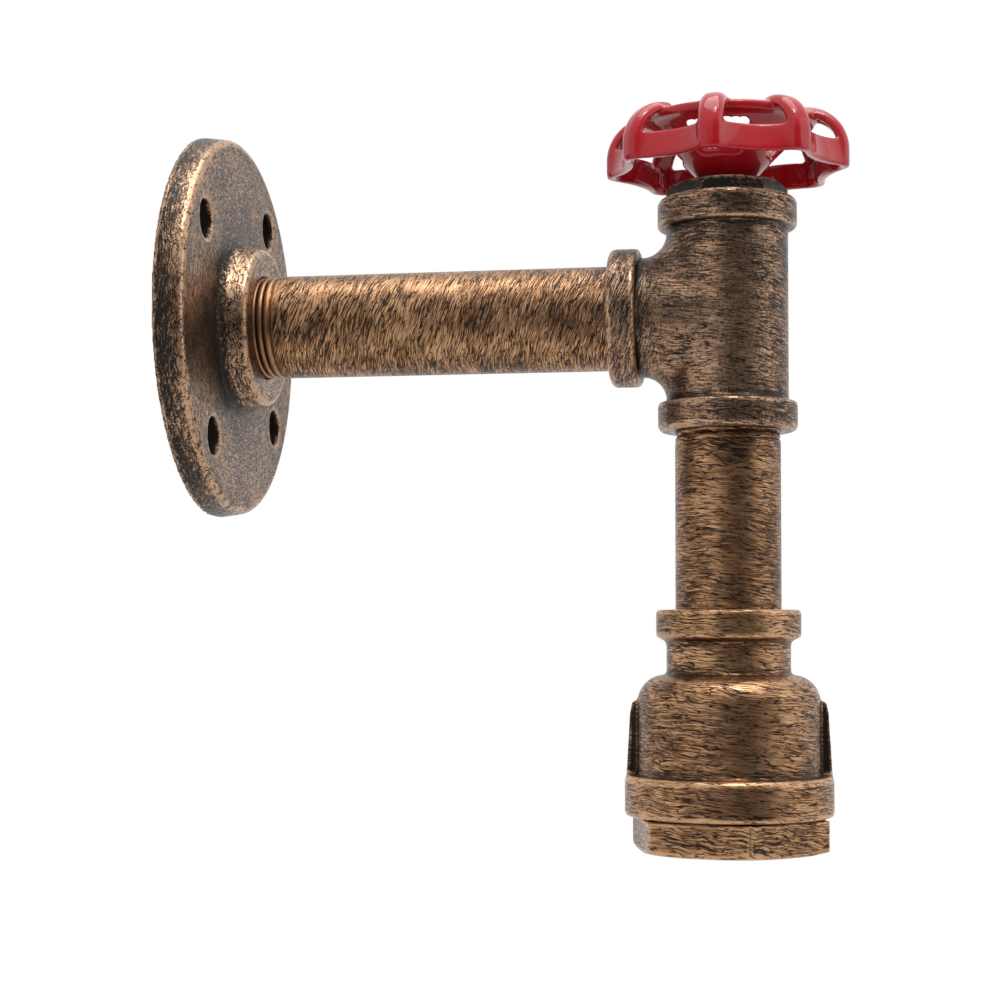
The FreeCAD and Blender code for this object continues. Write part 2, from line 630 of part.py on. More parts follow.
def contact_spring():
    """Coil between the button and the body's floor."""
    wire = SPRING_WIRE / 2
    mean = SPRING_OD / 2 - wire
    height = SPRING_HEIGHT - SPRING_WIRE - 2 * STEM_FIT
    helix = Part.makeHelix(height / SPRING_TURN_COUNT, height, mean)
    helix.translate(Vector(0, 0, FLOOR_Z - SPRING_HEIGHT + wire + STEM_FIT))
    start = helix.Vertexes[0].Point
    section = Part.Wire(Part.makeCircle(wire, start, Vector(0, 1, 0)))
    return at_tee(Part.Wire(helix).makePipeShell([section], True, True))


def terminal(side, bar):
    """Strap on the body's floor with the pillar that takes a lead."""
    y, half = side * PILLAR_OFFSET, PILLAR_SIZE / 2
    low, top = HOLDER_TOP + STRAP_THICKNESS, HOLDER_TOP + PILLAR_HEIGHT
    piece = bar.fuse(block(Vector(-half, y - half, HOLDER_TOP), Vector(half, y + half, top)))
    lead_hole = upright(LEAD_OD / 2 + LEAD_FIT, top - LEAD_SINK, top + PAST_FACE, 0, y)
    screw_z = top - LEAD_SINK / 2
    screw_hole = rod(TERMINAL_SCREW_OD / 2 + STEM_FIT, Vector(LEAD_OD / 2, y, screw_z),
                     Vector(half + PAST_FACE, y, screw_z))
    piece = piece.cut(lead_hole.fuse(screw_hole))
    return piece, low


def live_terminal():
    """Strap from the centre contact's stem to the live pillar."""
    half = STRAP_WIDTH / 2
    bar = block(Vector(-half, -PILLAR_OFFSET, HOLDER_TOP), Vector(half, half, HOLDER_TOP + STRAP_THICKNESS))
    piece, strap_top = terminal(-1, bar)
    return at_tee(piece.cut(upright(STEM_OD / 2 + STEM_FIT, HOLDER_TOP, strap_top)))


def neutral_terminal():
    """Strap across the two rivets, with the neutral pillar in its middle."""
    reach, half = RIVET_SPREAD + STRAP_WIDTH / 2, STRAP_WIDTH / 2
    bar = block(Vector(-reach, PILLAR_OFFSET - half, HOLDER_TOP),
                Vector(reach, PILLAR_OFFSET + half, HOLDER_TOP + STRAP_THICKNESS))
    piece, strap_top = terminal(1, bar)
    for side in (1, -1):
        piece = piece.cut(upright(RIVET_OD / 2 + STEM_FIT, HOLDER_TOP, strap_top,
                                  side * RIVET_SPREAD, PILLAR_OFFSET))
    return at_tee(piece)


def shell_rivets():
    """Two rivets that hold the screw shell and the neutral strap to the body's floor."""
    low, high = FLOOR_Z - SHELL_WALL, HOLDER_TOP + STRAP_THICKNESS
    shank, head = RIVET_OD / 2, RIVET_HEAD_OD / 2
    rivets = []
    for side in (1, -1):
        rivet = turned(about_z, [(0, low - RIVET_HEAD), (head, low - RIVET_HEAD, RIVET_HEAD / 2), (head, low),
                                 (shank, low), (shank, high), (head, high),
                                 (head, high + RIVET_HEAD, RIVET_HEAD / 2), (0, high + RIVET_HEAD)])
        rivet.translate(Vector(side * RIVET_SPREAD, PILLAR_OFFSET, 0))
        rivets.append(rivet)
    return at_tee(Part.makeCompound(rivets))


def terminal_screws():
    """One screw in the side of each pillar, down on its lead."""
    z = HOLDER_TOP + PILLAR_HEIGHT - LEAD_SINK / 2
    half = PILLAR_SIZE / 2
    screws = []
    for side in (1, -1):
        y = side * PILLAR_OFFSET
        shank = rod(TERMINAL_SCREW_OD / 2, Vector(LEAD_OD / 2 + LEAD_FIT, y, z), Vector(half, y, z))
        head = rod(TERMINAL_HEAD_OD / 2, Vector(half, y, z), Vector(half + TERMINAL_HEAD, y, z))
        screws.append(shank.fuse(head))
    return at_tee(Part.makeCompound(screws))


def lead(side):
    """Insulated lead: up the drop, round through the tee and along the arm to the wall."""
    y = side * PILLAR_OFFSET
    start = Vector(TEE_X, y, HOLDER_TOP + PILLAR_HEIGHT - LEAD_SINK)
    bend_start = Vector(TEE_X, y, -LEAD_BEND - LEAD_FIT)
    turn = LEAD_BEND * (1 - math.sqrt(0.5))
    bend_middle = bend_start + Vector(-turn, 0, LEAD_BEND * math.sqrt(0.5))
    bend_end = bend_start + Vector(-LEAD_BEND, 0, LEAD_BEND)
    end = Vector(LEAD_INSET, y, bend_end.z)
    path = Part.Wire([Part.makeLine(start, bend_start),
                      Part.Arc(bend_start, bend_middle, bend_end).toShape(),
                      Part.makeLine(bend_end, end)])
    section = Part.Wire(Part.makeCircle(LEAD_OD / 2, start, Z_AXIS))
    return path.makePipeShell([section], True, False)


PIECES = {
    "wall_flange": wall_flange,
    "arm_pipe": arm_pipe,
    "tee_fitting": tee_fitting,
    "top_plug": top_plug,
    "handwheel": handwheel,
    "wheel_washer": wheel_washer,
    "wheel_screw": wheel_screw,
    "drop_pipe": drop_pipe,
    "reducing_socket": reducing_socket,
    "hex_bushing": hex_bushing,
    "holder_body": holder_body,
    "holder_cap": holder_cap,
    "screw_shell": screw_shell,
    "centre_contact": centre_contact,
    "contact_spring": contact_spring,
    "live_terminal": live_terminal,
    "neutral_terminal": neutral_terminal,
    "shell_rivets": shell_rivets,
    "terminal_screws": terminal_screws,
    "live_lead": lambda: lead(-1),
    "neutral_lead": lambda: lead(1),
}


def main():
    os.makedirs("parts", exist_ok=True)
    for name, make in PIECES.items():
        shape = make()
        print(name, "valid" if shape.isValid() else "NOT VALID", len(shape.Solids), "solid(s)",
              round(shape.Volume, 1), "mm3")
        shape.exportStep("parts/" + name + ".step")


main()
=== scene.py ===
"""Looks of the industrial pipe wall light: antique bronze castings, a red enamel handwheel
and a porcelain lampholder, lit as in a light tent."""

import math

import bpy
import numpy as np
from mathutils import Matrix, Vector


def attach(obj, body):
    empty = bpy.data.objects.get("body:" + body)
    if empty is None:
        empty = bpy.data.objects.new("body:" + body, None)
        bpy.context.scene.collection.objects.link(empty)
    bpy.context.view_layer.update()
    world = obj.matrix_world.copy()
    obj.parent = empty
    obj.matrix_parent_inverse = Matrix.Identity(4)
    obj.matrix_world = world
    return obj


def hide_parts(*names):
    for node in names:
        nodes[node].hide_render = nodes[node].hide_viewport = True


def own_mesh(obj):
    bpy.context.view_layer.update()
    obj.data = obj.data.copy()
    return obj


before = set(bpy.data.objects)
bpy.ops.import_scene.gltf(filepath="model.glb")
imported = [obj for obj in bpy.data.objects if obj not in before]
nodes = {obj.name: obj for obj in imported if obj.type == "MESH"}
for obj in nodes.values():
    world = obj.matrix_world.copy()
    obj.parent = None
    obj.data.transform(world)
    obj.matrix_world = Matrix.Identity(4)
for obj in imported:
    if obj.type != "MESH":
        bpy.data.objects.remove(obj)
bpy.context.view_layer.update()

MM = 0.001
TEE_X = 135.6 * MM
PIPE_RADIUS = 13.35 * MM
PIPE_BORE = 10.6 * MM
THREAD_CREST = 13.15 * MM
THREAD_DEPTH = 0.75 * MM
THREAD_PITCH = 1.81 * MM
ARM_START, ARM_END = 3.0 * MM, 119.0 * MM
ARM_MOUTH = 14.6 * MM
ARM_SHOULDER = 105.95 * MM
DROP_START, DROP_END = -16.6 * MM, -87.7 * MM
DROP_MOUTH = -29.6 * MM
DROP_SHOULDER = -74.65 * MM
LAMP_THREAD_PITCH = 3.63 * MM
LAMP_THREAD_DEPTH = 1.05 * MM
THREAD_STEPS = 160     # round a turned pipe
THREAD_STATION = 0.13 * MM     # between two stations along a thread
GROOVE_SHARPNESS = 2.8
FADING_TURNS, LAST_TURNS = 2.2, 0.6     # of a pipe thread, as it runs out
SHELL_RADIUS = 13.3 * MM
SHELL_WALL = 0.4 * MM
SHELL_LOW, SHELL_SLOPE = -130.9 * MM, -113.5 * MM
SHELL_NECK_LOW, SHELL_TOP = -111.5 * MM, -108.4 * MM
SHELL_NECK = 11.8 * MM
SHELL_STEPS = 144     # round the shell
SHELL_STATION = 0.3 * MM
SHELL_LIP, SHELL_END = 2.2 * MM, 1.5 * MM     # over which the lamp thread begins and ends
SHELL_WINDOW = 6.5 * MM
SCREW_HOLE = 77 * MM / 2 / math.sqrt(2)     # up and across to a wall screw, before the turn
SCREW_HOLE_TURN = math.radians(7.5)
RIB_TURN = math.radians(5)
HUB_CLEAR = 11 * MM     # from the wheel's axis, kept as cast
FILL_ROUNDS, FILL_SHARE = 40, 0.6
HEX_TOP, HEX_FLAT = -126.9 * MM, 22.6 * MM
HEX_MARGIN = 0.2 * MM
HEX_LIFT, HEX_TRIM = 2.5 * MM, 0.9 / 3.5     # how far down the lift starts, and the trim's slope

# Where a finish changes: the two ends of the change.
HOLE_BLACK = 5.1 * MM, 4.7 * MM     # from a screw hole's middle
RIM_BLACK = 49.2 * MM, 49.7 * MM     # from the arm's axis
ROOT_BLACK = 38 * MM, 23 * MM     # from the arm's axis
HUB_BRONZE = 8.6 * MM, 9.8 * MM     # from the wall
# the thread: rubbed crests with a painted highlight, and black grooves with painted shade
THREAD_WEAR_AND_LIGHT = 19.9 * MM, 19.2 * MM     # from the wall
CREST_WEAR_AND_LIGHT = 12.70 * MM, 12.95 * MM     # from the arm's axis
RIB_SIDE = 1.4 * MM, 1.9 * MM     # from a rib's middle
RIB_REACH = 23.3 * MM, 23.7 * MM     # from the upright axis
RIB_FOOT = -115.6 * MM, -114.6 * MM     # in height
RUN_STROKES = 112 * MM, 124 * MM     # from the wall

STROKES_ROUND_THE_DROP = 0.10, 0.05, 0.99     # square to the strokes
STROKES_ROUND_THE_ARM = 0.95, 0.0, -0.31

MIDDLE = 0.13, 0, 0     # about the middle of the light
FLOOR_SIZE, FLOOR_HEIGHT = 40, -0.62
FLOOR_FADE = 0.9, 2.2     # from the floor's middle, from shadow kept to white
SHADOW_KEPT = 0.15
CARD_SIZE = 3.2
CARD_FADE = 0.30, 1.30     # from the card's middle, from black to clear
CARD_SIDE = 0.42, -0.90, 0.0     # from the lamp to the card
CARD_LEVEL = -0.03
TENT_LIGHT, TENT_WHITE = 0.85, 1.0
SENSOR_WIDTH, FOCAL_WIDTHS = 36, 2.04595     # the lens in widths of the sensor


# ---------------------------------------------------------------- modelling

def only(piece):
    """Select one object, and make it the one that operators act on."""
    bpy.ops.object.select_all(action="DESELECT")
    piece.select_set(True)
    bpy.context.view_layer.objects.active = piece


def modified(piece, kind, **settings):
    """Add a modifier with its settings and apply it."""
    only(piece)
    modifier = piece.modifiers.new(kind.lower(), kind)
    for name, value in settings.items():
        setattr(modifier, name, value)
    bpy.ops.object.modifier_apply(modifier=modifier.name)


def welded_copy(node, name):
    """A copy of a solid's mesh whose loose triangles are joined."""
    piece = bpy.data.objects.new(name, nodes[node].data.copy())
    bpy.context.scene.collection.objects.link(piece)
    piece.data.materials.clear()
    only(piece)
    bpy.ops.object.mode_set(mode="EDIT")
    bpy.ops.mesh.select_all(action="SELECT")
    bpy.ops.mesh.remove_doubles(threshold=0.002 * MM)
    bpy.ops.object.mode_set(mode="OBJECT")
    return piece


def read_surface(mesh):
    """Points in millimetres, their normals, and a function that averages over neighbours."""
    count = len(mesh.vertices)
    points, normals = np.empty(count * 3), np.empty(count * 3)
    mesh.vertices.foreach_get("co", points)
    mesh.vertices.foreach_get("normal", normals)
    ends = np.empty(len(mesh.edges) * 2, dtype=int)
    mesh.edges.foreach_get("vertices", ends)
    first, second = ends.reshape(-1, 2).T
    neighbours = np.bincount(ends, minlength=count)

    def average(values):
        if values.ndim == 2:
            return np.stack([average(values[:, axis]) for axis in range(3)], axis=1)
        return (np.bincount(first, values[second], count)
                + np.bincount(second, values[first], count)) / neighbours

    return points.reshape(-1, 3) / MM, normals.reshape(-1, 3), average


def mark_bends(piece):
    """Store how the surface bends, per millimetre: above 0 on edges, below 0 in corners."""
    mesh = piece.data
    points, normals, average = read_surface(mesh)
    middle = average(points)
    spread = (average(np.sum(points ** 2, axis=1))
              + np.sum(points ** 2 - 2 * points * middle, axis=1))
    bend = 4 * np.sum((points - middle) * normals, axis=1) / spread
    for name, rounds in (("edges", 3), ("hollows", 24)):
        smooth = bend
        for _ in range(rounds):
            smooth = (smooth + average(smooth)) / 2
        values = mesh.attributes.new(name, "FLOAT", "POINT").data
        values.foreach_set("value", smooth.astype(np.float32))


def fill_corners(piece):
    """Fill the wheel's inner corners as thick enamel does, and leave its hub alone."""
    mesh = piece.data
    for _ in range(FILL_ROUNDS):
        points, normals, average = read_surface(mesh)
        out = np.hypot(points[:, 0] - TEE_X / MM, points[:, 1])
        rise = np.sum((average(points) - points) * normals, axis=1)
        rise = np.clip(rise, 0, None) * (out > HUB_CLEAR / MM)
        points += normals * (FILL_SHARE * rise)[:, None]
        mesh.vertices.foreach_set("co", (points * MM).ravel())
        mesh.update()


def casting(node, name, grain, rounds):
    """A casting: the solid, with its edges and corners as soft as mould and paint leave them."""
    piece = welded_copy(node, name)
    modified(piece, "REMESH", mode="VOXEL", voxel_size=grain * MM)
    modified(piece, "SMOOTH", factor=0.5, iterations=rounds)
    bpy.ops.object.shade_smooth()
    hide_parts(node)
    return piece


def square_top(piece):
    """Lift the bushing's trimmed upper corners to where the cast hexagon ends, under the band."""
    for vertex in piece.data.vertices:
        x, y, z = vertex.co
        out = math.hypot(x - TEE_X, y)
        if out > HEX_FLAT - HEX_MARGIN and z > HEX_TOP - HEX_LIFT:
            trimmed = max(0, out - HEX_FLAT) * HEX_TRIM
            vertex.co.z += (z - HEX_TOP + HEX_LIFT) / (HEX_LIFT - trimmed) * trimmed


def lathe(name, stations, steps):
    """Turn a profile of (radius, height) stations about the upright axis."""
    bpy.ops.object.select_all(action="DESELECT")
    bpy.ops.mesh.primitive_plane_add(size=MM)
    piece = bpy.context.object
    piece.name = name
    bpy.ops.object.mode_set(mode="EDIT")
    bpy.ops.mesh.select_all(action="SELECT")
    bpy.ops.mesh.merge(type="CENTER")
    radius, height = stations[0]
    bpy.ops.transform.translate(value=(radius, 0, height))
    for following in stations[1:]:
        step = (following[0] - radius, 0, following[1] - height)
        bpy.ops.mesh.extrude_region_move(TRANSFORM_OT_translate={"value": step})
        radius, height = following
    bpy.ops.mesh.select_all(action="SELECT")
    bpy.ops.mesh.spin(steps=steps, angle=2 * math.pi, center=(0, 0, 0), axis=(0, 0, 1))
    bpy.ops.mesh.select_all(action="SELECT")
    bpy.ops.mesh.remove_doubles(threshold=0.001 * MM)
    bpy.ops.mesh.normals_make_consistent(inside=False)
    bpy.ops.object.mode_set(mode="OBJECT")
    bpy.ops.object.shade_smooth_by_angle(angle=math.radians(35))
    return piece


def helix(piece, pitch, depth, wave):
    """Cut a screw thread in the turned walls: depth is how deep it is at a height."""
    for vertex in piece.data.vertices:
        x, y, z = vertex.co
        radius = math.hypot(x, y)
        cut = depth(radius, z)
        if cut <= 0:
            continue
        turn = (z / pitch - math.atan2(y, x) / (2 * math.pi)) % 1
        scale = 1 - cut * wave(turn) / radius
        vertex.co = (x * scale, y * scale, z)


def painted(turn):
    """A pipe thread's groove, 1 deep in its root, between crests that the paint has rounded."""
    return (1 - abs(2 * turn - 1)) ** GROOVE_SHARPNESS


def rolled(turn):
    """The round wave of a lamp thread."""
    return 0.5 - 0.5 * math.cos(2 * math.pi * turn)


def fade(value, start, end):
    """0 at start and 1 at end, easing both ways."""
    t = min(1, max(0, (value - start) / (end - start)))
    return t * t * (3 - 2 * t)


def threaded_pipe(name, start, mouth, crests, shoulder, end):
    """A nipple along its axis, with the crests that show outside a fitting's mouth."""
    runout = mouth + (crests + 0.9) * THREAD_PITCH
    first = mouth - 2 * THREAD_PITCH
    count = int((runout - first) / THREAD_STATION)
    stations = [(PIPE_BORE, start), (THREAD_CREST, start)]
    for index in range(count + 1):
        along = first + index * (runout - first) / count
        swell = (PIPE_RADIUS - THREAD_CREST) * fade(along, mouth, runout)
        stations.append((THREAD_CREST + swell, along))
    stations += [(PIPE_RADIUS, shoulder), (THREAD_CREST, shoulder),
                 (THREAD_CREST, end), (PIPE_BORE, end), (PIPE_BORE, start)]
    pipe = lathe(name, stations, THREAD_STEPS)

    def depth(radius, along):
        inside = radius < (PIPE_BORE + THREAD_CREST) / 2
        if inside or along < first or along > runout:
            return 0
        shallower = 0.75 * fade(along, runout - FADING_TURNS * THREAD_PITCH, runout)
        last = fade(along, runout - LAST_TURNS * THREAD_PITCH, runout)
        return THREAD_DEPTH * (1 - shallower) * (1 - last)

    helix(pipe, THREAD_PITCH, depth, painted)
    bpy.ops.object.shade_smooth_by_angle(angle=math.radians(40))
    return pipe


def placed(piece, matrix):
    """Put a piece in its place, in its mesh."""
    piece.data.transform(matrix)
    piece.data.update()


flange = casting("wall_flange", "flange_casting", 0.55, 3)
tee = casting("tee_fitting", "tee_casting", 0.5, 4)
plug = casting("top_plug", "plug_casting", 0.4, 2)
socket = casting("reducing_socket", "socket_casting", 0.5, 3)
bushing = casting("hex_bushing", "bushing_casting", 0.45, 2)
square_top(bushing)
wheel = casting("handwheel", "handwheel_casting", 0.36, 12)
holder = casting("holder_body", "porcelain_body", 0.4, 2)
fill_corners(wheel)
for cast in (flange, tee, plug, socket, bushing, wheel, holder):
    mark_bends(cast)

arm = threaded_pipe("arm_nipple", ARM_START, ARM_MOUTH, 2.3, ARM_SHOULDER, ARM_END)
placed(arm, Matrix.Rotation(math.pi / 2, 4, "Y"))
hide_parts("arm_pipe")
drop = threaded_pipe("drop_nipple", -DROP_START, -DROP_MOUTH, 1, -DROP_SHOULDER, -DROP_END)
placed(drop, Matrix.Translation((TEE_X, 0, 0)) @ Matrix.Rotation(math.pi, 4, "X"))
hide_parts("drop_pipe")


def lamp_shell():
    """The lampholder's rolled brass cup."""
    threaded = SHELL_SLOPE - SHELL_LOW
    count = int(threaded / SHELL_STATION)
    wall = [(SHELL_RADIUS, SHELL_LOW + threaded * index / count) for index in range(count + 1)]
    stations = wall + [(SHELL_NECK, SHELL_NECK_LOW), (SHELL_NECK, SHELL_TOP - SHELL_WALL),
                       (SHELL_WINDOW, SHELL_TOP - SHELL_WALL)]
    shell = lathe("lamp_shell", stations, SHELL_STEPS)

    def depth(radius, height):
        begun = fade(height, SHELL_LOW, SHELL_LOW + SHELL_LIP)
        return LAMP_THREAD_DEPTH * begun * (1 - fade(height, SHELL_SLOPE - SHELL_END, SHELL_SLOPE))

    helix(shell, LAMP_THREAD_PITCH, depth, rolled)
    modified(shell, "SOLIDIFY", thickness=SHELL_WALL, offset=1)
    bpy.ops.object.shade_smooth_by_angle(angle=math.radians(45))
    placed(shell, Matrix.Translation((TEE_X, 0, 0)))
    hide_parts("screw_shell")
    return shell


shell = lamp_shell()

spring = welded_copy("contact_spring", "coil_spring")
bpy.ops.object.shade_smooth()
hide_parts("contact_spring")


# ---------------------------------------------------------------- finishes

class Socket:
    """An output socket. Arithmetic on it adds Math nodes to its material."""

    def __init__(self, finish, socket):
        self.finish, self.socket = finish, socket

    def maths(self, operation, *values):
        return self.finish.add("ShaderNodeMath", {"operation": operation}, *values)

    def __add__(self, other):
        return self.maths("ADD", self, other)

    def __radd__(self, other):
        return self.maths("ADD", other, self)

    def __sub__(self, other):
        return self.maths("SUBTRACT", self, other)

    def __rsub__(self, other):
        return self.maths("SUBTRACT", other, self)

    def __mul__(self, other):
        return self.maths("MULTIPLY", self, other)

    def __rmul__(self, other):
        return self.maths("MULTIPLY", other, self)

    def __abs__(self):
        return self.maths("ABSOLUTE", self)

    def either(self, other):
        """The larger of two values."""
        return self.maths("MAXIMUM", self, other)


class Finish:
    """A material and the nodes of its pattern."""

    def __init__(self, name, **constants):
        self.material = bpy.data.materials.new(name)
        self.material.use_nodes = True
        self.tree = self.material.node_tree
        self.surface = self.tree.nodes["Principled BSDF"]
        for socket, value in constants.items():
            self.surface.inputs[socket.replace("_", " ")].default_value = value

    def add(self, kind, settings, *values, output=0, **named):
        """Add a node: its settings first, then its sockets by number or by name."""
        node = self.tree.nodes.new(kind)
        for setting, value in settings.items():
            if setting == "stops":
                self.stops(node, value)
            else:
                setattr(node, setting, value)
        self.fill(node, enumerate(values))
        self.fill(node, ((name.replace("_", " "), value) for name, value in named.items()))
        return Socket(self, node.outputs[output])

    def fill(self, node, sockets):
        """Link or set a node's sockets, each given by its number or name."""
        for key, value in sockets:
            if isinstance(value, Socket):
                self.tree.links.new(value.socket, node.inputs[key])
            else:
                node.inputs[key].default_value = value

    def stops(self, node, stops):
        """Set a ramp's stops."""
        ramp = node.color_ramp
        while len(ramp.elements) < len(stops):
            ramp.elements.new(1)
        for element, (position, colour) in zip(ramp.elements, stops):
            element.position, element.color = position, colour

    def place(self):
        """The point on the piece, in metres."""
        return self.add("ShaderNodeTexCoord", {}, output="Object")

    def noise(self, place, size_mm, detail=2.0, roughness=0.5, output=0):
        """Noise whose waves are about a size long."""
        return self.add("ShaderNodeTexNoise", {}, Vector=place, Scale=1 / (size_mm * MM),
                        Detail=detail, Roughness=roughness, output=output)

    def ramp(self, value, stops):
        """A colour from its stops."""
        return self.add("ShaderNodeValToRGB", {"stops": stops}, value)

    def step(self, value, low, high):
        """0 below low, 1 above high, easing between."""
        settings = {"interpolation_type": "SMOOTHSTEP"}
        return self.add("ShaderNodeMapRange", settings, value, low, high)

    def mix(self, mask, first, second):
        """Mix of two colours by a mask."""
        node = self.tree.nodes.new("ShaderNodeMix")
        node.data_type = "RGBA"
        self.fill(node, ((0, mask), (6, first), (7, second)))
        return Socket(self, node.outputs[2])

    def vector(self, operation, *values, output=0, **named):
        """Vector arithmetic, with a vector as its result unless an output is named."""
        settings = {"operation": operation}
        return self.add("ShaderNodeVectorMath", settings, *values, output=output, **named)

    def along(self, place, axis):
        """How far along X, Y or Z a point is."""
        return self.add("ShaderNodeSeparateXYZ", {}, place, output=axis)

    def out(self, place, across):
        """How far out a point is, in the directions that across keeps."""
        return self.vector("LENGTH", self.vector("MULTIPLY", place, across), output="Value")

    def facing(self, way):
        """How squarely the surface faces along a direction: 0 to 1."""
        outward = self.add("ShaderNodeTexCoord", {}, output="Normal")
        return abs(self.vector("DOT_PRODUCT", outward, way, output="Value"))

    def bend(self, name):
        """How the surface bends: edges are above 0 and hollows are below it."""
        return self.add("ShaderNodeAttribute", {"attribute_name": name}, output="Fac")

    def relief(self, height, distance_mm, strength):
        """Raise the surface a little where height is 1."""
        normal = self.add("ShaderNodeBump", {}, Strength=strength, Distance=distance_mm * MM,
                          Height=height)
        self.link("Normal", normal)

    def link(self, name, value):
        """Feed one of the surface's own sockets."""
        self.tree.links.new(value.socket, self.surface.inputs[name])

    def blend(self, mask, other):
        """Show another shader in place of the surface where the mask is 1."""
        shown = Socket(self, self.surface.outputs[0])
        mixed = self.add("ShaderNodeMixShader", {}, mask, shown, other)
        self.tree.links.new(mixed.socket, self.tree.nodes["Material Output"].inputs[0])


def strokes(finish, place, across, length_mm, width_mm, detail=2.0):
    """Brush marks of a length and a width, lying square to the direction across."""
    along = finish.vector("DOT_PRODUCT", place, across, output="Value")
    stretch = finish.vector("SCALE", across, Scale=along * (length_mm / width_mm - 1))
    return finish.noise(finish.vector("ADD", place, stretch), length_mm, detail, 0.55)


# Bare black paint at 0, thin bronze about the middle, and rubbed bronze at 1; the painted highlight
# on edges also lifts a surface towards 1, and painted shade in corners lowers it towards 0.
COPPER_TONES = ((0.00, (0.010, 0.008, 0.007, 1)), (0.22, (0.022, 0.014, 0.010, 1)),
                (0.42, (0.088, 0.044, 0.022, 1)), (0.58, (0.190, 0.098, 0.048, 1)),
                (0.78, (0.300, 0.160, 0.082, 1)), (1.00, (0.560, 0.330, 0.180, 1)))
DULL_TONES = ((0.00, (0.010, 0.009, 0.008, 1)), (0.22, (0.022, 0.017, 0.014, 1)),
              (0.42, (0.070, 0.044, 0.030, 1)), (0.58, (0.150, 0.092, 0.060, 1)),
              (0.78, (0.250, 0.155, 0.100, 1)), (1.00, (0.500, 0.310, 0.190, 1)))


def antique_bronze(name, brushed, tones=COPPER_TONES, cover=0.0, bare=None):
    """Black paint under bronze brushed on nearly dry: fine strokes, edges lighter with rubbed
    bronze and a painted highlight, corners darker with the black base and painted shade.
    """
    finish = Finish(name, Specular_IOR_Level=0.15)
    place = finish.place()
    waves = finish.noise(place, 7.0, 1.0, output="Color")
    sway = finish.vector("SUBTRACT", waves, (0.5, 0.5, 0.5))
    swayed = finish.vector("ADD", place, finish.vector("SCALE", sway, Scale=2.2 * MM))
    grain = brushed(finish, swayed)
    mottle = finish.noise(place, 5.0, 3.0, 0.6) - 0.5
    cloud = finish.noise(place, 20.0, 2.0, 0.5) - 0.5
    # edges: lighter, with rubbed bronze and a painted highlight
    edge = finish.step(finish.bend("edges"), 0.18, 0.50)
    # hollows: darker, with the black base and painted shade
    corner_black_and_shade = finish.step(finish.bend("hollows"), -0.08, -0.38)
    level = 0.60 + grain + mottle * 0.6 + cloud * 0.7 + edge * 0.30 - corner_black_and_shade * 0.28 + cover
    # a piece's own black and bronze marks, with painted highlight and shade at some of them
    if bare:
        level = bare(finish, place, level, edge)
    finish.link("Base Color", finish.ramp(level, tones))
    finish.link("Metallic", finish.step(level, 0.05, 0.40) * (0.95 - edge * 0.30))
    finish.link("Roughness", 0.36 + mottle * 0.2 - edge * 0.08)
    pitting = finish.noise(place, 0.8, 3.0, 0.6)
    finish.relief(finish.step(level, 0.1, 0.8) * 0.5 + pitting * 0.5, 0.10, 0.7)
    return finish.material


def hairlines(finish, place, across, length_mm, width_mm, thin):
    """1 along thin lines that wander between the strokes."""
    veins = strokes(finish, place, across, length_mm, width_mm, 1.0) - 0.5
    return finish.step(abs(veins), thin, thin * 0.3)


def brush_marks(finish, place, across, length_mm, width_mm):
    """Around 0: hairlines of bare black among strokes of bronze, and a speckle on end faces."""
    long = hairlines(finish, place, across, length_mm * 1.6, width_mm * 3.0, 0.040)
    short = hairlines(finish, place, across, length_mm, width_mm * 1.6, 0.045)
    marks = strokes(finish, place, across, length_mm, width_mm, 2.0) - 0.5
    sides = marks * 2.0 - long * 0.55 - short * 0.34 + 0.19
    ends = (finish.noise(place, 0.55, 2.0, 0.5) - 0.5) * 1.8 + 0.02
    return sides + (ends - sides) * finish.step(finish.facing(across), 0.72, 0.93)


def round_the_drop(finish, place):
    """Strokes round the upright axis."""
    return brush_marks(finish, place, STROKES_ROUND_THE_DROP, 4.4, 0.26)


def round_the_arm(finish, place):
    """Strokes round the arm on a slant."""
    return brush_marks(finish, place, STROKES_ROUND_THE_ARM, 4.0, 0.25)


def round_the_flange(finish, place):
    """Fine strokes round the flange's middle over a speckle."""
    shift = finish.out(place, (0, 1, 1)) * 7.0 + finish.along(place, "X") * 6.0
    rings = finish.add("ShaderNodeCombineXYZ", {}, shift)
    ringed = finish.noise(finish.vector("ADD", place, rings), 2.2, 2.0, 0.55) - 0.5
    wider = finish.vector("ADD", place, finish.vector("SCALE", rings, Scale=0.4))
    line = finish.step(abs(finish.noise(wider, 2.2, 1.0, 0.5) - 0.5), 0.05, 0.015)
    speckle = finish.noise(place, 0.40, 1.0, 0.5) - 0.5
    return ringed * 2.1 + speckle * 1.4 - line * 0.55 + 0.14


def flange_paint_and_edge_highlight(finish, place, level, edge):
    """Black in the screw holes, at the rim and at the hub's root, bronze round the hub, and the
    edges lighter: rubbed bronze with a painted highlight.
    """
    turned = finish.add("ShaderNodeVectorRotate", {"rotation_type": "X_AXIS"}, Vector=place,
                        Angle=-SCREW_HOLE_TURN)
    off = finish.vector("SUBTRACT", finish.vector("ABSOLUTE", turned), (0, SCREW_HOLE, SCREW_HOLE))
    inside = finish.step(finish.out(off, (0, 1, 1)), *HOLE_BLACK)
    out = finish.out(place, (0, 1, 1))
    rim = finish.step(out, *RIM_BLACK)
    hub = finish.step(finish.along(place, "X"), *HUB_BRONZE)
    root = finish.step(out, *ROOT_BLACK) * (1 - hub)
    # edge: rubbed bronze with a painted highlight
    return level - inside * 0.9 - rim * 0.36 - root * 0.24 + hub * 0.10 + edge * 0.15


